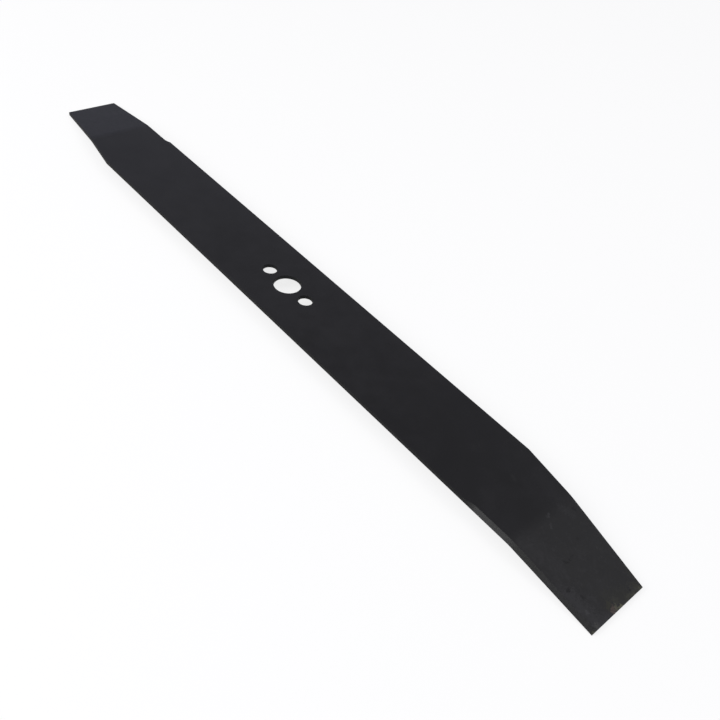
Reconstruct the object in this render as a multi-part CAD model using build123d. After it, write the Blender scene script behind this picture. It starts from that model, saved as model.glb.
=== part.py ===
from build123d import *
from math import atan2, degrees, hypot, radians
import os

# A mower blade: one flat steel bar with a hole for the spindle, a pin hole at each side of it,
# and two cutting ends, each bent down, tapered at the back and ground to an edge at the front.
# The frame's origin is the middle of the spindle hole, halfway through the metal.
# +X runs along the bar and +Z is up, towards the spindle. Seen from above, the blade turns clockwise.

# The bar, in millimetres
BLADE_WIDTH = 57.0
THICKNESS = 2.7
CUT_LENGTH = 559.2  # measured along the metal, as it is cut before bending
EDGE_ROUNDING = 0.3  # the soft corners of rolled bar

# The holes, all on the bar's centre line
SPINDLE_HOLE = 18.4
PIN_HOLE = 9.8
PIN_SPACING = 38.4
HOLE_DEBURR = 0.25

# The bend that lowers each end
BEND_ANGLE = 6.8
BEND_RADIUS = 45.0  # on the underside, the hollow side of the bend
BEND_MIDDLE = 223.0  # from the spindle, along the metal

# The sheared taper at the back of each end
TAPER_START = 188.0
BACK_AT_TIP = 13.5  # how far the tip reaches behind the centre line

# The ground bevel at the front of each end, on the top face
BEVEL_WIDTH = 1.95
EDGE_LAND = 0.45  # the metal left square at the cutting edge
BEVEL_FULL = 198.2  # where the bevel has its full width
WHEEL_RADIUS = 17.0  # the grinding wheel leaves its own curve where the bevel starts

# Sizes that follow from the ones above
HALF_WIDTH = BLADE_WIDTH / 2
TOP = THICKNESS / 2
BEND_CENTRE_Z = -TOP - BEND_RADIUS
BEND_ARC = (BEND_RADIUS + TOP) * radians(BEND_ANGLE)
BEND_START = BEND_MIDDLE - BEND_ARC / 2
BEND_END = BEND_START + BEND_ARC
TIP_RUN = CUT_LENGTH / 2 - BEND_END
BEVEL_DEPTH = THICKNESS - EDGE_LAND
TOOL_MARGIN = 12.0  # how far a cutting shape passes the metal


def bend_axis():
    """The line that an end is bent about, square to the bar and far below it."""
    return Axis((BEND_START, 0, BEND_CENTRE_Z), (0, 1, 0))


def crosswise_plane(x):
    """A plane across the bar: its first axis is +Y and its second is +Z."""
    return Plane(origin=(x, 0, 0), x_dir=(0, 1, 0), z_dir=(1, 0, 0))


def along_the_bar(outline, start, past_tip):
    """The solid that a crosswise outline makes as it follows the bar from start to the tip."""
    section = crosswise_plane(BEND_START) * outline
    outward = Vector(1, 0, 0)
    flat = extrude(section, amount=BEND_START - start, dir=-outward)
    bend = revolve(section, axis=bend_axis(), revolution_arc=BEND_ANGLE)
    end_section = section.rotate(bend_axis(), BEND_ANGLE)
    end = extrude(end_section, amount=TIP_RUN + past_tip, dir=outward.rotate(Axis.Y, BEND_ANGLE))
    return flat + bend + end


def half_bar():
    """Half of the bar, from the spindle to one tip, bent down but still square in plan."""
    outline = Rectangle(BLADE_WIDTH, THICKNESS)
    return along_the_bar(outline, start=0, past_tip=0)


def taper_cut():
    """What the shear takes off the back of an end, from the taper's start to past the tip."""
    slope = (HALF_WIDTH - BACK_AT_TIP) / (CUT_LENGTH / 2 - TAPER_START)
    far = CUT_LENGTH / 2 + TOOL_MARGIN
    outline = Polygon(
        (TAPER_START, HALF_WIDTH),
        (far, HALF_WIDTH - slope * (far - TAPER_START)),
        (far, HALF_WIDTH + TOOL_MARGIN),
        (TAPER_START, HALF_WIDTH + TOOL_MARGIN),
        align=None,
    )
    return extrude(outline, amount=TOOL_MARGIN, both=True)


def soften_edges(half):
    """Rounds the long edges and the tip's edges, and leaves the joint at the spindle square."""

    def is_outline(edge):
        middle = edge.position_at(0.5)
        course = edge.tangent_at(0.5)
        at_joint = middle.X < EDGE_ROUNDING
        across_the_face = abs(course.Y) > 0.9 and middle.X < BEND_END + EDGE_ROUNDING
        standing = abs(course.Z) > 0.9
        return not (at_joint or across_the_face or standing)

    return fillet([edge for edge in half.edges() if is_outline(edge)], EDGE_ROUNDING)


def bevel_outline():
    """The wedge that the grinder takes off the front edge, seen along the bar."""
    run, rise = BEVEL_WIDTH, BEVEL_DEPTH
    past = 2.0
    return Polygon(
        (-HALF_WIDTH + run * (1 + past), TOP + rise * past),
        (-HALF_WIDTH - run * past, TOP - rise * (1 + past)),
        (-HALF_WIDTH - run * past - TOOL_MARGIN, TOP + rise * past),
        align=None,
    )


def grinding_wheel():
    """The wheel where it first reaches full depth: its rim touches the bevel's own plane."""
    slope = degrees(atan2(BEVEL_DEPTH, BEVEL_WIDTH))
    length = hypot(BEVEL_DEPTH, BEVEL_WIDTH)
    outward_y = -BEVEL_DEPTH / length
    outward_z = BEVEL_WIDTH / length
    middle_y = -HALF_WIDTH + BEVEL_WIDTH / 2
    middle_z = TOP - BEVEL_DEPTH / 2
    centre = (BEVEL_FULL, middle_y + outward_y * WHEEL_RADIUS, middle_z + outward_z * WHEEL_RADIUS)
    wheel = Cylinder(WHEEL_RADIUS, 3 * length)
    return Pos(*centre) * Rot(slope - 90, 0, 0) * wheel


def bevel_cut():
    """All that is ground off the front of an end, from the wheel's run-in to past the tip."""
    wedge = along_the_bar(bevel_outline(), start=BEVEL_FULL, past_tip=TOOL_MARGIN)
    return wedge + grinding_wheel()


def round_hole(diameter, x):
    """A hole's cutting shape, with a light deburring at both faces."""
    straight = Cylinder(diameter / 2, 2 * THICKNESS)
    depth = 2 * HOLE_DEBURR
    mouth = Cone(diameter / 2, diameter / 2 + depth, depth)
    upper = Pos(0, 0, TOP - HOLE_DEBURR + depth / 2) * mouth
    lower = mirror(upper, about=Plane.XY)
    return Pos(x, 0, 0) * (straight + upper + lower)


def blade():
    """The whole blade: one end, its twin turned half round the spindle, and the holes."""
    half = soften_edges(half_bar() - taper_cut()) - bevel_cut()
    whole = half + Rot(0, 0, 180) * half
    for diameter, x in ((SPINDLE_HOLE, 0), (PIN_HOLE, PIN_SPACING / 2), (PIN_HOLE, -PIN_SPACING / 2)):
        whole -= round_hole(diameter, x)
    return whole


os.makedirs("parts", exist_ok=True)
export_step(blade(), "parts/blade.step")
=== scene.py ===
import math

import bpy
from mathutils import Matrix, Vector


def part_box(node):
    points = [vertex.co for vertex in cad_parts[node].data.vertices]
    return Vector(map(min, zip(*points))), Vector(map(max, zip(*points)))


bl_info = {
    "name": "Mower blade",
    "version": (1, 0, 0),
    "blender": (4, 5, 0),
    "location": "View3D > Sidebar > Mower Blade",
    "description": "Gives a mower blade its worn black coat and sets up the studio around it",
    "category": "Object",
}

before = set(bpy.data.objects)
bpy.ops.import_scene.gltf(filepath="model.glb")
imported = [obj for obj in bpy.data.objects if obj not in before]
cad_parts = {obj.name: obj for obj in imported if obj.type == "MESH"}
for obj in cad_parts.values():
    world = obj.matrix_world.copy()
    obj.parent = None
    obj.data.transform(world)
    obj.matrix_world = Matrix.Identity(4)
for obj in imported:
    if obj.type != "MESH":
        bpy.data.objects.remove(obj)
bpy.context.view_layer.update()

# The blade's own measures, in millimetres. +X and +Y are along and across the bar, from the spindle.
MM = 0.001
BLADE_LOW, BLADE_HIGH = (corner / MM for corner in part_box("blade"))
HALF_LENGTH = BLADE_HIGH.x
HALF_WIDTH = BLADE_HIGH.y
TOP_FACE = BLADE_HIGH.z
FLOOR_LEVEL = BLADE_LOW.z
TAPER_START = 188.0
BACK_AT_TIP = 13.5
BEVEL_START = 191.3
BEVEL_WIDTH = 1.95
BEVEL_MARGIN = 2.0  # how much sooner the bevel's mask may begin
HOLES = ((0.0, 9.2), (19.2, 4.9), (-19.2, 4.9))  # place along the bar, and radius
FAR_OFF = 1000.0  # further than any place on the blade

# Where the coat changes along the bar, in millimetres from the spindle
DARKENING_STRETCH = (40.0, 150.0)  # the coat darkens over this stretch, towards +X only
BEND_ZONE = (218.0, 228.0)  # past it the paint is more speckled
SCUFF_AND_HIGHLIGHT_BEGINS = (190.0, 202.0)  # on the bevel: scuffed paint and a painted highlight
SCUFF_AND_HIGHLIGHT_ENDS = (216.0, 228.0)
STAIN_AND_SHADING_BEGINS = (218.0, 230.0)  # on the bevel too: a yellowish tint and painted shading
STAIN_AND_SHADING_ENDS = (240.0, 250.0)

# The coat's finish and patterns
COAT_SPECULAR = 0.208  # how strongly the paint mirrors, on the shader's own scale
STROKE_FADE = (0.55, 1.35)  # a stroke begins to fade and is gone at these shares of its reach
PATTERN_SHIFT = (31.0, 17.0, 5.0)  # keeps a second pattern off the first

# The room around the blade, by a ray's height: 0 is level and 1 is straight up
WALL_TOP = (0.31, 0.56)
HORIZON_BAND = (0.0, 0.14)
WALL_TINT = (0.90, 0.95, 1.28, 1.0)
CEILING_TINT = (1.0, 0.99, 1.04, 1.0)
WHITE = (1.0, 1.0, 1.0, 1.0)

# Where the photograph's camera stood, in degrees and millimetres. The spindle hole keeps its pixel.
IMAGE_SIDE = 720
SPINDLE_PIXEL = (287.51, 284.28)
CAMERA_AZIMUTH = 41.28
CAMERA_ELEVATION = 42.59
CAMERA_ROLL = 11.51
CAMERA_DEPTH = 525.94
SENSOR_WIDTH = 36.0

# Marks on the top face, each a stroke: its start and end as (x, y), its reach and its strength
BARE_STEEL = (
    ((278.9, -6.8), (278.6, -4.6), 1.3, 0.80),  # the middle of the tip's edge
    ((278.2, -8.6), (276.6, -7.4), 1.3, 0.50),
    ((279.0, 12.6), (278.3, 11.0), 1.1, 0.30),  # the corner behind it
    ((278.6, 6.4), (278.4, 5.2), 0.6, 0.35),
    ((279.0, -27.9), (278.7, -27.2), 0.7, 0.30),  # the cutting corner
    ((278.2, -24.2), (277.4, -24.8), 1.5, 0.16),
    ((277.8, 11.4), (277.8, 2.4), 2.4, 0.11),
    ((275.2, -4.4), (273.8, -5.4), 2.2, 0.05),
)
FIRST_RUST = (
    ((278.4, -11.4), (277.0, -9.4), 1.5, 0.60),
    ((276.6, -9.6), (275.8, -8.8), 0.9, 0.30),
)
OLIVE_FILM = (
    ((275.6, -12.0), (274.2, -9.0), 2.4, 0.80),  # thin stained paint around the bare steel
    ((276.2, -5.0), (274.6, -6.2), 2.0, 0.55),
    ((272.0, -7.4), (275.6, 1.6), 6.0, 0.30),
    ((278.8, -3.0), (278.6, 12.4), 3.0, 0.45),
    ((278.6, 12.2), (275.6, 9.2), 3.6, 0.60),
    ((264.0, 15.4), (277.0, 13.4), 2.2, 0.30),
)
RUBS = (
    ((277.2, -25.2), (278.3, -24.2), 2.4, 1.90),  # at the cutting corner
    ((278.6, -28.0), (278.2, -27.4), 0.9, 1.10),
    ((277.8, -23.0), (277.6, -15.0), 3.2, 0.46),
    ((278.2, 12.2), (275.8, 8.6), 3.6, 0.80),
    ((276.0, -6.4), (273.4, -5.6), 2.0, 0.50),
    ((270.9, -23.6), (270.6, -23.0), 1.8, 1.90),
    ((266.5, -26.6), (269.2, -24.7), 0.9, 1.00),
    ((272.4, -21.4), (271.5, -20.2), 1.8, 0.60),
    ((261.0, -25.0), (276.0, -23.6), 8.5, 0.76),
    ((255.0, -25.6), (262.0, -24.0), 5.5, 0.46),
    ((228.0, -23.0), (242.0, -17.0), 10.0, 0.22),
    ((266.2, -15.6), (268.0, -14.4), 2.2, 0.45),
    ((223.1, 2.6), (224.5, 0.7), 0.9, 0.90),
    ((227.8, -1.8), (229.8, -2.4), 0.8, 0.70),
    ((225.2, 11.7), (230.7, 13.8), 3.4, 0.28),
    ((195.6, 5.4), (197.0, 4.6), 2.2, 0.35),
    ((204.0, 18.5), (219.0, 15.5), 8.0, 0.16),
    ((196.5, -15.5), (201.0, -20.5), 7.0, 0.15),
    ((84.0, -6.0), (90.0, -12.0), 10.0, 0.12),
    ((70.0, 24.0), (114.0, 24.0), 7.0, 0.12),
    ((-110.0, 24.0), (-80.0, 25.0), 8.0, 0.12),
)
PITS = (
    ((257.5, -22.0), (257.6, -22.3), 1.2, 1.3),
    ((264.0, -19.0), (264.3, -18.8), 1.0, 1.0),
    ((246.9, -11.6), (247.0, -11.4), 1.1, 1.2),
    ((247.0, -8.6), (246.6, -5.2), 0.8, 0.6),
    ((241.9, 4.7), (242.2, 4.6), 1.0, 1.0),
    ((240.9, 17.4), (241.0, 17.6), 1.0, 0.8),
    ((228.7, 17.9), (229.3, 17.6), 1.4, 0.9),
    ((276.1, 6.6), (276.3, 6.2), 0.8, 1.0),
)
SMUDGES = (
    ((262.0, 3.4), (268.5, 9.0), 6.0, 0.60),  # grease that darkens the paint
    ((268.0, 6.0), (273.5, 3.0), 5.0, 0.35),
    ((197.0, 0.5), (217.0, -6.0), 9.0, 0.55),
    ((152.0, -2.0), (167.0, -9.0), 13.0, 0.28),
    ((47.0, -15.0), (49.5, -24.0), 7.5, 0.75),
    ((-38.0, 10.5), (-22.0, 14.5), 9.0, 0.42),
    ((-166.0, 17.0), (-156.0, 15.5), 7.0, 0.25),
    ((-88.0, 6.0), (-62.0, 2.0), 18.0, 0.45),
    ((-91.0, 1.0), (-84.0, 4.5), 7.0, 0.62),
)


def rgb(name, text, default):
    """A colour that a user can change."""
    default = (*default, 1.0)
    return bpy.props.FloatVectorProperty(
        name=name, description=text, subtype="COLOR", size=4, min=0.0, max=1.0, default=default
    )


def length(name, text, default_mm):
    """A size that a user can change, shown in the scene's own unit."""
    default = default_mm * MM
    return bpy.props.FloatProperty(name=name, description=text, unit="LENGTH", min=0.0, default=default)


def share(name, text, default):
    """A share from none to all that a user can change."""
    return bpy.props.FloatProperty(
        name=name, description=text, subtype="FACTOR", min=0.0, max=1.0, default=default
    )


class CoatSettings(bpy.types.PropertyGroup):
    """The colours and finish of the painted blade."""

    deep: rgb("Deep coat", "Black paint where it lies thick", (0.0040, 0.0039, 0.0048))
    thin: rgb("Thin coat", "Black paint where it lies thin or has greyed", (0.0094, 0.0092, 0.0105))
    rubbed: rgb("Rubbed coat", "Paint that handling has turned grey", (0.030, 0.0298, 0.0320))
    bevel: rgb("Bevel coat", "Paint over the ground bevel", (0.0098, 0.0096, 0.0097))
    # Partly scuffed paint, partly a painted highlight: the bevel before the bend is painted lighter.
    ground: rgb("Scuffed bevel", "The bevel's paint where it has been scuffed", (0.0108, 0.0106, 0.0101))
    # Painted shading with a yellowish tint: the bevel just past the bend is painted darker.
    stain_and_shading: rgb("Bevel stain", "The dull stain further along the bevel", (0.0078, 0.0079, 0.0066))
    # Painted shading: the narrow sides and rounded edges are painted darker than the top, to take out the
    # floor's reflection and the edges' highlight.
    side: rgb("Sides", "The paint on the bar's narrow sides", (0.0014, 0.0014, 0.0014))
    # Painted shading: the hole walls are painted darker, to take out the floor's reflection in them.
    wall_shading: rgb("Hole walls", "The walls of the holes", (0.0020, 0.0020, 0.0021))
    steel: rgb("Bare steel", "Steel where the paint has chipped off", (0.084, 0.084, 0.052))
    rust: rgb("Light rust", "The first rust on the bare steel", (0.078, 0.056, 0.046))
    film: rgb("Olive film", "Stained paint, worn thin around the bare steel", (0.0140, 0.0140, 0.0072))
    # This colour also darkens the broken line of painted shading along the bevel's upper edge.
    grime_and_shading: rgb("Grime", "The dark in pits and pores, and in smudges of grease", (0.0015, 0.0015, 0.0015))
    sheen: share("Roughness", "How matt the paint is", 0.40)
    wear: share("Wear", "How much the coat has worn along its edges", 0.5)


class StageSettings(bpy.types.PropertyGroup):
    """The floor, the lamps and the camera."""

    floor: rgb("Floor", "The pale floor", (0.93, 0.93, 0.93))
    floor_radius: length("Floor radius", "How far the floor reaches", 4000.0)
    floor_glow: share("Floor glow", "How much the camera and reflections see the floor as plain white", 0.8)
    low_sky: share("Low sky", "How bright the room's walls are", 0.31)
    high_sky: share("High sky", "How bright the room is overhead", 0.66)
    horizon: share("Horizon", "How much paler the room is where it meets the floor", 0.32)
    lens: bpy.props.FloatProperty(
        name="Lens", description="Focal length of the camera", unit="CAMERA", min=1.0, default=40.0
    )


class Bench:
    """Adds nodes to one tree, left to right, and links what they are given."""

    def __init__(self, tree):
        self.tree = tree

    def node(self, kind, inputs=(), **settings):
        made = self.tree.nodes.new(kind)
        for name, value in settings.items():
            setattr(made, name, value)
        for key, value in dict(inputs).items():
            self.feed(made.inputs[key], value)
        return made

    def feed(self, socket, value):
        if isinstance(value, bpy.types.NodeSocket):
            self.tree.links.new(value, socket)
        else:
            socket.default_value = value

    def math(self, operation, first, second=0.0):
        inputs = {0: first, 1: second}
        return self.node("ShaderNodeMath", inputs, operation=operation).outputs[0]

    def vector(self, operation, first, second=(0.0, 0.0, 0.0)):
        inputs = {0: first, 1: second}
        return self.node("ShaderNodeVectorMath", inputs, operation=operation).outputs[0]

    def measure(self, operation, first, second=(0.0, 0.0, 0.0)):
        """A vector operation that gives one number."""
        inputs = {0: first, 1: second}
        return self.node("ShaderNodeVectorMath", inputs, operation=operation).outputs["Value"]

    def scaled(self, vector, factor):
        made = self.node("ShaderNodeVectorMath", {0: vector}, operation="SCALE")
        self.feed(made.inputs["Scale"], factor)
        return made.outputs[0]

    def split(self, vector):
        return self.node("ShaderNodeSeparateXYZ", {0: vector}).outputs

    def joined(self, x, y, z=0.0):
        return self.node("ShaderNodeCombineXYZ", {0: x, 1: y, 2: z}).outputs[0]

    def between(self, value, low, high, start=0.0, end=1.0):
        """A smooth step: start at low, end at high."""
        inputs = {"Value": value, "From Min": low, "From Max": high, "To Min": start, "To Max": end}
        return self.node("ShaderNodeMapRange", inputs, interpolation_type="SMOOTHSTEP").outputs[0]

    def noise(self, position, scale, detail=2.0, roughness=0.5):
        inputs = {"Vector": position, "Scale": scale, "Detail": detail, "Roughness": roughness}
        return self.node("ShaderNodeTexNoise", inputs).outputs["Fac"]

    def blend(self, amount, first, second):
        """A colour part of the way from first to second."""
        # A Mix node keeps its two colours in inputs 6 and 7, and the blend in output 2
        made = self.node("ShaderNodeMix", data_type="RGBA")
        self.feed(made.inputs["Factor"], amount)
        self.feed(made.inputs[6], first)
        self.feed(made.inputs[7], second)
        return made.outputs[2]

    def total(self, *values):
        """All the values added up."""
        result = values[0]
        for value in values[1:]:
            result = self.math("ADD", result, value)
        return result

    def weighed(self, *pairs):
        """All the values added up, each times the weight that follows it."""
        return self.total(*(self.math("MULTIPLY", value, weight) for value, weight in pairs))

    def product(self, *values):
        """All the values multiplied."""
        result = values[0]
        for value in values[1:]:
            result = self.math("MULTIPLY", result, value)
        return result

    def use(self, group, inputs):
        """A node group with its own values, and what it puts out first."""
        return self.node("ShaderNodeGroup", inputs, node_tree=group).outputs[0]


def new_material(name):
    """An empty node material and its bench."""
    material = bpy.data.materials.new(name)
    material.use_nodes = True
    material.node_tree.nodes.clear()
    return material, Bench(material.node_tree)


def new_group(name, vectors, numbers):
    """An empty node group with named inputs that puts out one mask; also its bench, inputs and output."""
    tree = bpy.data.node_groups.new(name, "ShaderNodeTree")
    for label in vectors:
        tree.interface.new_socket(name=label, in_out="INPUT", socket_type="NodeSocketVector")
    for label in numbers:
        tree.interface.new_socket(name=label, in_out="INPUT", socket_type="NodeSocketFloat")
    tree.interface.new_socket(name="Mask", in_out="OUTPUT", socket_type="NodeSocketFloat")
    bench = Bench(tree)
    given = bench.node("NodeGroupInput").outputs
    result = bench.node("NodeGroupOutput").inputs["Mask"]
    return tree, bench, given, result


def stroke_group():
    """One mark: a stroke between two places that a grain, from 0 to 1, breaks up."""
    tree, bench, given, result = new_group(
        "worn_stroke", ("Place", "Start", "End"), ("Reach", "Grain", "Strength")
    )
    along = bench.vector("SUBTRACT", given["End"], given["Start"])
    out = bench.vector("SUBTRACT", given["Place"], given["Start"])
    run = bench.measure("DOT_PRODUCT", along, along)
    passed = bench.math("DIVIDE", bench.measure("DOT_PRODUCT", out, along), run)
    passed = bench.math("MINIMUM", bench.math("MAXIMUM", passed, 0.0), 1.0)
    off = bench.measure("LENGTH", bench.vector("SUBTRACT", out, bench.scaled(along, passed)))
    off = bench.math("ADD", bench.math("DIVIDE", off, given["Reach"]), given["Grain"])
    inside = bench.between(off, *STROKE_FADE, 1.0, 0.0)
    bench.feed(result, bench.math("MULTIPLY", inside, given["Strength"]))
    return tree


def speck_group():
    """Scattered specks, about 0.4 to 1.4 of the given size, in a share of cells of the given spacing."""
    tree, bench, given, result = new_group("specks", ("Place",), ("Spacing", "Size", "Share"))
    place = bench.scaled(given["Place"], bench.math("DIVIDE", 1.0, given["Spacing"]))
    cells = bench.node("ShaderNodeTexVoronoi", {"Vector": place, "Scale": 1.0}, feature="F1")
    chance = bench.node("ShaderNodeSeparateColor", {0: cells.outputs["Color"]}).outputs
    chosen = bench.math("GREATER_THAN", given["Share"], chance[0])
    size = bench.product(given["Size"], bench.math("ADD", chance[1], 0.4))
    reach = bench.math("DIVIDE", size, given["Spacing"])
    inside = bench.between(cells.outputs["Distance"], bench.math("MULTIPLY", reach, 0.4), reach, 1.0, 0.0)
    bench.feed(result, bench.math("MULTIPLY", inside, chosen))
    return tree


def edge_wear_group():
    """Wear within a reach, in millimetres, of an edge: an even rub and the broken patches in it."""
    tree, bench, given, result = new_group("edge_wear", ("Place",), ("Distance", "Reach", "Even", "Broken"))
    patches = bench.between(bench.noise(given["Place"], 0.55, detail=4.0, roughness=0.65), 0.47, 0.62)
    near = bench.between(given["Distance"], 0.0, given["Reach"], 1.0, 0.0)
    level = bench.math("ADD", given["Even"], bench.math("MULTIPLY", patches, given["Broken"]))
    bench.feed(result, bench.math("MULTIPLY", near, level))
    return tree


def hairline_group():
    """Sparse hairline scratches that run at an angle, in radians, to the bar."""
    tree, bench, given, result = new_group("hairlines", ("Place",), ("Angle", "Length", "Share"))
    inputs = {"Vector": given["Place"], "Angle": given["Angle"]}
    turned = bench.node("ShaderNodeVectorRotate", inputs, rotation_type="Z_AXIS").outputs[0]
    x, y, _ = bench.split(turned)
    stretched = bench.joined(bench.math("DIVIDE", x, given["Length"]), bench.math("MULTIPLY", y, 0.6))
    streaks = bench.noise(stretched, 1.0, detail=1.0)
    line = bench.between(bench.math("ABSOLUTE", bench.math("SUBTRACT", streaks, 0.5)), 0.0, 0.012, 1.0, 0.0)
    where = bench.noise(given["Place"], 0.05, detail=1.0)
    there = bench.between(where, bench.math("SUBTRACT", 0.75, given["Share"]), 0.8)
    bench.feed(result, bench.math("MULTIPLY", line, there))
    return tree


class BladeMasks:
    """What the coat reads: places on the blade, in millimetres, and masks made from its normals."""

    def __init__(self, bench):
        coordinates = bench.node("ShaderNodeTexCoord").outputs
        self.bench = bench
        self.place = bench.scaled(coordinates["Object"], 1 / MM)
        x, y, _ = bench.split(self.place)
        end = bench.math("SIGN", x)
        self.x = x
        self.plan = bench.joined(x, y)
        self.along = bench.math("ABSOLUTE", x)
        self.front = bench.math("MULTIPLY", y, end)
        _, normal_y, normal_z = bench.split(coordinates["Normal"])
        outward = bench.math("MULTIPLY", normal_y, end)
        level = bench.math("ABSOLUTE", normal_z)
        self.upward = bench.between(normal_z, 0.2, 0.6)
        self.standing = bench.between(level, 0.1, 0.5, 1.0, 0.0)
        faces_forward = bench.between(outward, -0.45, -0.65)
        at_bevel = bench.math("GREATER_THAN", self.along, BEVEL_START - BEVEL_MARGIN)
        self.bevel = bench.product(faces_forward, self.upward, at_bevel)
        rounded = bench.between(level, 0.80, 0.99, 1.0, 0.0)
        self.rounded = bench.math("MULTIPLY", rounded, bench.math("SUBTRACT", 1.0, self.bevel))

    def from_front(self):
        """How far a place is from the cutting side's edge, seen from above."""
        return self.bench.math("ADD", self.front, HALF_WIDTH)

    def from_back(self):
        """How far a place is from the back edge and its taper, seen from above."""
        bench = self.bench
        slope = (HALF_WIDTH - BACK_AT_TIP) / (HALF_LENGTH - TAPER_START)
        straight = bench.math("SUBTRACT", HALF_WIDTH, self.front)
        lean = bench.math("MULTIPLY", bench.math("SUBTRACT", self.along, TAPER_START), slope)
        taper = bench.math("DIVIDE", bench.math("SUBTRACT", straight, lean), math.hypot(1.0, slope))
        return bench.math("MINIMUM", straight, taper)

    def from_tip(self):
        """How far a place is from the nearer tip, along the bar."""
        return self.bench.math("SUBTRACT", HALF_LENGTH, self.along)

    def from_holes(self):
        """How far a place is from the rim of the nearest hole."""
        bench = self.bench
        nearest = FAR_OFF
        for middle, radius in HOLES:
            away = bench.measure("DISTANCE", self.plan, (middle, 0.0, 0.0))
            nearest = bench.math("MINIMUM", nearest, bench.math("SUBTRACT", away, radius))
        return nearest


def strokes(masks, group, place, grain, marks):
    """The union of the listed marks."""
    bench = masks.bench
    union = 0.0
    for start, end, reach, strength in marks:
        inputs = {
            "Place": place,
            "Start": (*start, 0.0),
            "End": (*end, 0.0),
            "Reach": reach,
            "Grain": grain,
            "Strength": strength,
        }
        union = bench.math("MAXIMUM", union, bench.use(group, inputs))
    return union


def thin_paint(masks, mottle, grain):
    """Where the black paint lies thin, from 0 to 1, darker towards +X over the middle, with more of a
    speckle on the lowered ends.
    """
    bench = masks.bench
    clouds = bench.noise(masks.place, 0.028, detail=2.0)
    tone = bench.weighed((clouds, 0.40), (mottle, 0.35), (grain, 0.25))
    darker_towards_plus_x = bench.between(masks.x, *DARKENING_STRETCH, 0.0, -0.15)
    handled = bench.between(masks.along, *BEND_ZONE)
    speckle = bench.noise(masks.place, 0.32, detail=4.0, roughness=0.75)
    speckle = bench.product(bench.math("SUBTRACT", speckle, 0.5), handled, 1.3)
    return bench.between(bench.total(tone, darker_towards_plus_x, speckle), 0.28, 0.70)


def top_face_marks(masks, mottle):
    """A mask for each kind of mark on the top face. A drift of up to 1.5 mm makes their outlines uneven."""
    bench = masks.bench
    group = stroke_group()
    drift = bench.node("ShaderNodeTexNoise", {"Vector": masks.place, "Scale": 0.45, "Detail": 2.0})
    drift = bench.vector("SUBTRACT", drift.outputs["Color"], (0.5, 0.5, 0.5))
    place = bench.vector("ADD", masks.plan, bench.scaled(drift, 3.0))
    place = bench.vector("MULTIPLY", place, (1.0, 1.0, 0.0))  # drops the drift's own height
    fray = bench.noise(masks.place, 1.1, detail=4.0, roughness=0.7)
    fray = bench.between(fray, 0.35, 0.65, 0.0, 0.8)
    soft = bench.math("MULTIPLY", mottle, 0.5)
    marks = {}
    for kind, grain, listed in (
        ("rubs", fray, RUBS),
        ("pits", fray, PITS),
        ("film", fray, OLIVE_FILM),
        ("smudges", soft, SMUDGES),
    ):
        marks[kind] = bench.math("MULTIPLY", strokes(masks, group, place, grain, listed), masks.upward)
    marks["rust"] = strokes(masks, group, place, fray, FIRST_RUST)
    marks["chips"] = strokes(masks, group, place, fray, BARE_STEEL)
    return marks


def worn_edges(masks, wear):
    """How far the coat has worn grey along its edges. The back's narrow side is worn at its corner only."""
    bench = masks.bench
    group = edge_wear_group()
    off_side = bench.math("MULTIPLY", masks.standing, 2.0)  # puts the side past the wear's reach
    back_corner = bench.math("ADD", masks.from_back(), off_side)
    worn = 0.0
    for distance, reach, even, broken in (
        (masks.from_front(), 0.8, 0.00, 0.25),
        (back_corner, 1.3, 0.18, 0.45),
        (masks.from_tip(), 3.4, 0.40, 0.60),
        (masks.from_holes(), 0.8, 0.10, 0.30),
    ):
        inputs = {
            "Place": masks.place,
            "Distance": distance,
            "Reach": reach,
            "Even": even * wear,
            "Broken": broken * wear,
        }
        worn = bench.math("MAXIMUM", worn, bench.use(group, inputs))
    return worn


def bevel_paint(masks, settings, lines):
    """The bevel's own colour: scuffing and a painted highlight before the bend, and painted shading with a
    yellowish tint just past it.
    """
    bench = masks.bench
    # scuffing and a painted highlight before the bend, broken by the grind lines
    scuffed_and_highlit = bench.product(
        bench.between(masks.along, *SCUFF_AND_HIGHLIGHT_BEGINS, 0.35, 1.0),
        bench.between(masks.along, *SCUFF_AND_HIGHLIGHT_ENDS, 1.0, 0.0),
        bench.between(lines, 0.25, 0.6, 0.8, 1.0),
    )
    # painted shading with a yellowish tint just past the bend
    stained_and_shaded = bench.product(
        bench.between(masks.along, *STAIN_AND_SHADING_BEGINS),
        bench.between(masks.along, *STAIN_AND_SHADING_ENDS, 1.0, 0.0),
    )
    colour = bench.blend(stained_and_shaded, settings.bevel, settings.stain_and_shading)
    return bench.blend(scuffed_and_highlit, colour, settings.ground)


def beside_bevel(masks, grain):
    """A broken dark line of painted shading on the top face along the bevel's upper edge."""
    bench = masks.bench
    past_bevel = bench.math("SUBTRACT", masks.from_front(), BEVEL_WIDTH)
    return bench.product(
        bench.between(past_bevel, 0.2, 1.6, 1.0, 0.0),
        bench.between(masks.along, BEVEL_START, BEVEL_START + 6.0),
        bench.between(grain, 0.42, 0.58),
    )


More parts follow.
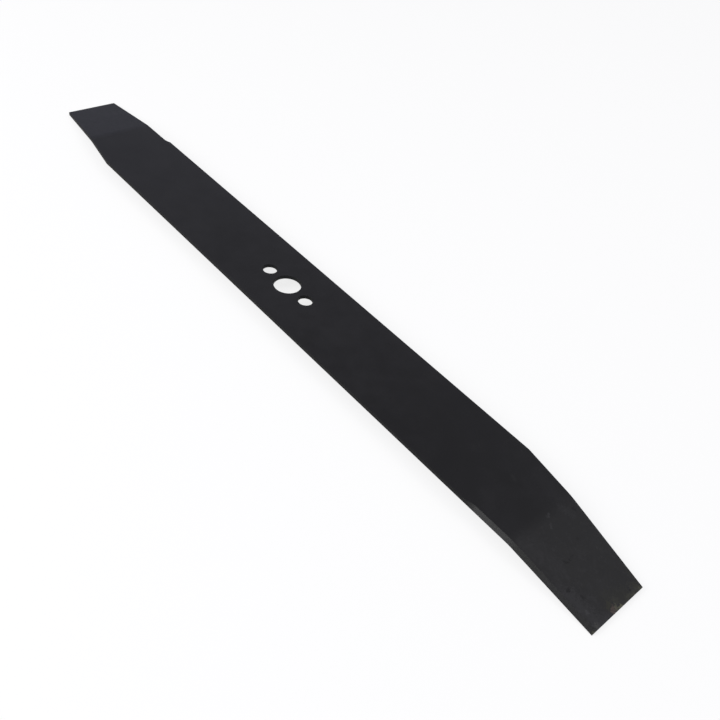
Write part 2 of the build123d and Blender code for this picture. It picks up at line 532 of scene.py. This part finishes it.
def black_coat(settings):
    """Semi-gloss black paint on the whole blade, with the wear that handling and grinding left."""
    material, bench = new_material("worn_black_coat")
    masks = BladeMasks(bench)
    place = masks.place
    elsewhere = bench.vector("ADD", place, PATTERN_SHIFT)
    mottle = bench.noise(place, 0.11, detail=3.0, roughness=0.55)
    grain = bench.noise(place, 0.9, detail=3.0, roughness=0.6)
    thin = thin_paint(masks, mottle, grain)
    marks = top_face_marks(masks, mottle)
    worn = worn_edges(masks, settings.wear)

    specks, hairlines = speck_group(), hairline_group()
    dust = bench.use(specks, {"Place": place, "Spacing": 5.0, "Size": 0.45, "Share": 0.30})
    pores = bench.use(specks, {"Place": elsewhere, "Spacing": 6.0, "Size": 0.75, "Share": 0.45})
    scratches = bench.use(hairlines, {"Place": place, "Angle": 0.45, "Length": 30.0, "Share": 0.2})
    crossing = bench.use(hairlines, {"Place": elsewhere, "Angle": -1.1, "Length": 22.0, "Share": 0.15})
    scratched = bench.math("MAXIMUM", scratches, crossing)
    greyed = bench.weighed((marks["rubs"], 0.6), (dust, 0.25), (scratched, 0.12))
    greyed = bench.math("MINIMUM", bench.math("ADD", greyed, worn), 1.0)
    # a broken line of painted shading along the bevel's upper edge
    edge_shading = beside_bevel(masks, grain)
    # dark pits, pores and smudges, with the painted shading of the bevel's upper edge
    grime_and_edge_shading = bench.weighed((marks["pits"], 0.6), (pores, 0.4), (edge_shading, 0.5), (marks["smudges"], 0.5))
    grime_and_edge_shading = bench.math("MINIMUM", grime_and_edge_shading, 0.8)
    bared = bench.math("MAXIMUM", marks["chips"], marks["rust"])

    lines = bench.noise(bench.vector("MULTIPLY", place, (2.4, 0.12, 0.12)), 1.0, detail=2.0)
    # The hole walls, which get a darker colour as painted shading.
    hole_wall_shading = bench.math("MULTIPLY", masks.standing, bench.math("LESS_THAN", masks.from_holes(), 1.0))
    colour = settings.deep
    for amount, paint in (
        (thin, settings.thin),
        # painted shading on the narrow sides and rounded edges
        (masks.rounded, settings.side),
        (hole_wall_shading, settings.wall_shading),
        (greyed, settings.rubbed),
        (masks.bevel, bevel_paint(masks, settings, lines)),
        (grime_and_edge_shading, settings.grime_and_shading),
        (marks["film"], settings.film),
        (marks["chips"], settings.steel),
        (marks["rust"], settings.rust),
    ):
        colour = bench.blend(amount, colour, paint)

    rough = bench.weighed(
        (bench.math("SUBTRACT", mottle, 0.5), 0.10),
        (masks.rounded, 0.25),
        (bench.math("MAXIMUM", greyed, bared), 0.15),
    )
    rough = bench.math("ADD", rough, settings.sheen)
    height = bench.weighed(
        (bench.noise(place, 0.8, detail=2.0), 0.008),  # orange peel
        (bench.math("MULTIPLY", lines, masks.bevel), 0.03),
        (bared, -0.02),
        (marks["pits"], -0.05),
        (pores, -0.03),
        (scratched, -0.004),
    )
    bump = bench.node("ShaderNodeBump", {"Strength": 1.0, "Distance": MM, "Height": height}).outputs[0]
    finish = {"Base Color": colour, "Roughness": rough, "Specular IOR Level": COAT_SPECULAR, "Normal": bump}
    shader = bench.node("ShaderNodeBsdfPrincipled", finish).outputs[0]
    bench.node("ShaderNodeOutputMaterial", {"Surface": shader})
    return material


def pale_floor(settings):
    """A white studio floor that still takes the blade's soft shadow."""
    material, bench = new_material("pale_floor")
    plain = bench.node("ShaderNodeBsdfDiffuse", {"Color": settings.floor})
    white = bench.node("ShaderNodeEmission", {"Color": WHITE, "Strength": 1.0})
    path = bench.node("ShaderNodeLightPath").outputs
    seen = bench.math("MAXIMUM", path["Is Camera Ray"], path["Is Glossy Ray"])
    seen = bench.math("MAXIMUM", seen, path["Is Transmission Ray"])
    glow = bench.math("MULTIPLY", seen, settings.floor_glow)
    mixed = bench.node("ShaderNodeMixShader", {0: glow, 1: plain.outputs[0], 2: white.outputs[0]})
    bench.node("ShaderNodeOutputMaterial", {"Surface": mixed.outputs[0]})
    return material


def lay_floor(settings):
    """A round floor at the blade's lowest point."""
    bpy.ops.mesh.primitive_circle_add(
        vertices=96, radius=settings.floor_radius, fill_type="NGON", location=(0, 0, FLOOR_LEVEL * MM)
    )
    floor = bpy.context.object
    floor.name = "floor"
    floor.data.materials.append(pale_floor(settings))


def direction(azimuth, elevation):
    """The unit vector at these angles, in degrees; azimuth 0 is in front, towards -Y."""
    a = math.radians(azimuth)
    e = math.radians(elevation)
    return Vector((math.sin(a) * math.cos(e), -math.cos(a) * math.cos(e), math.sin(e)))


def hang_softbox(name, azimuth, elevation, distance, width, power):
    """A square lamp that faces the blade, with its distance and width in metres and power in watts."""
    lamp = bpy.data.lights.new(name, "AREA")
    lamp.shape = "SQUARE"
    lamp.size = width
    lamp.energy = power
    box = bpy.data.objects.new(name, lamp)
    away = direction(azimuth, elevation)
    box.location = away * distance
    box.rotation_euler = away.to_track_quat("Z", "Y").to_euler()
    bpy.context.scene.collection.objects.link(box)


def light_room(settings):
    """A room with dim bluish walls, a pale horizon and a brighter ceiling, and the softboxes."""
    world = bpy.data.worlds.new("studio")
    bpy.context.scene.world = world
    world.use_nodes = True
    world.node_tree.nodes.clear()
    bench = Bench(world.node_tree)
    ray = bench.node("ShaderNodeTexCoord").outputs["Generated"]
    height = bench.split(ray)["Z"]
    level = bench.between(height, *WALL_TOP, settings.low_sky, settings.high_sky)
    colour = bench.blend(bench.between(height, *WALL_TOP), WALL_TINT, CEILING_TINT)
    horizon = bench.between(height, *HORIZON_BAND, 1.0, 0.0)
    level = bench.math("ADD", level, bench.math("MULTIPLY", horizon, settings.horizon))
    colour = bench.blend(horizon, colour, WHITE)
    sky = bench.node("ShaderNodeBackground", {"Color": colour, "Strength": level})
    bench.node("ShaderNodeOutputWorld", {"Surface": sky.outputs[0]})
    hang_softbox("key_softbox", azimuth=-20.0, elevation=34.0, distance=1.6, width=0.9, power=14.7)
    hang_softbox("back_softbox", azimuth=151.0, elevation=57.0, distance=1.8, width=0.9, power=3.9)
    hang_softbox("fill_softbox", azimuth=19.0, elevation=25.0, distance=1.8, width=0.8, power=2.6)


def place_camera(settings):
    """The camera at the photograph's own viewing angle, with the spindle hole at its pixel."""
    back = direction(CAMERA_AZIMUTH, CAMERA_ELEVATION)
    right = Vector((0, 0, 1)).cross(back).normalized()
    above = back.cross(right)
    roll = math.radians(CAMERA_ROLL)
    side = right * math.cos(roll) + above * math.sin(roll)
    up = above * math.cos(roll) - right * math.sin(roll)
    camera = bpy.data.cameras.new("camera")
    camera.lens = settings.lens
    camera.sensor_width = SENSOR_WIDTH
    camera.clip_end = 100.0
    focal = settings.lens / SENSOR_WIDTH * IMAGE_SIDE
    across = (SPINDLE_PIXEL[0] - IMAGE_SIDE / 2) / focal * CAMERA_DEPTH
    down = (SPINDLE_PIXEL[1] - IMAGE_SIDE / 2) / focal * CAMERA_DEPTH
    spindle = Vector((0, 0, TOP_FACE))
    eye = spindle + back * CAMERA_DEPTH - side * across + up * down
    holder = bpy.data.objects.new("camera", camera)
    holder.matrix_world = Matrix.Translation(eye * MM) @ Matrix((side, up, back)).transposed().to_4x4()
    bpy.context.scene.collection.objects.link(holder)
    bpy.context.scene.camera = holder


class BLADE_OT_coat(bpy.types.Operator):
    """Paint the blade black and wear the paint"""

    bl_idname = "blade.coat"
    bl_label = "Coat the Blade"

    def execute(self, context):
        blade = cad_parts["blade"]
        blade.material_slots[0].material = black_coat(context.scene.blade_coat)
        return {"FINISHED"}


class BLADE_OT_stage(bpy.types.Operator):
    """Lay the floor, hang the lamps and place the camera"""

    bl_idname = "blade.stage"
    bl_label = "Set the Stage"

    def execute(self, context):
        settings = context.scene.blade_stage
        lay_floor(settings)
        light_room(settings)
        place_camera(settings)
        context.scene.view_settings.view_transform = "Standard"
        return {"FINISHED"}


class BLADE_PT_panel(bpy.types.Panel):
    """The blade's operators and settings."""

    bl_idname = "BLADE_PT_panel"
    bl_label = "Mower Blade"
    bl_space_type = "VIEW_3D"
    bl_region_type = "UI"
    bl_category = "Mower Blade"

    def draw(self, context):
        scene = context.scene
        for operator, settings in ((BLADE_OT_coat, scene.blade_coat), (BLADE_OT_stage, scene.blade_stage)):
            box = self.layout.box()
            box.operator(operator.bl_idname)
            for name in settings.__annotations__:
                box.prop(settings, name)


CLASSES = (CoatSettings, StageSettings, BLADE_OT_coat, BLADE_OT_stage, BLADE_PT_panel)


def register():
    for cls in CLASSES:
        bpy.utils.register_class(cls)
    bpy.types.Scene.blade_coat = bpy.props.PointerProperty(type=CoatSettings)
    bpy.types.Scene.blade_stage = bpy.props.PointerProperty(type=StageSettings)


def unregister():
    del bpy.types.Scene.blade_stage
    del bpy.types.Scene.blade_coat
    for cls in reversed(CLASSES):
        bpy.utils.unregister_class(cls)


def main():
    register()
    bpy.ops.blade.coat()
    bpy.ops.blade.stage()


if __name__ == "__main__":
    main()
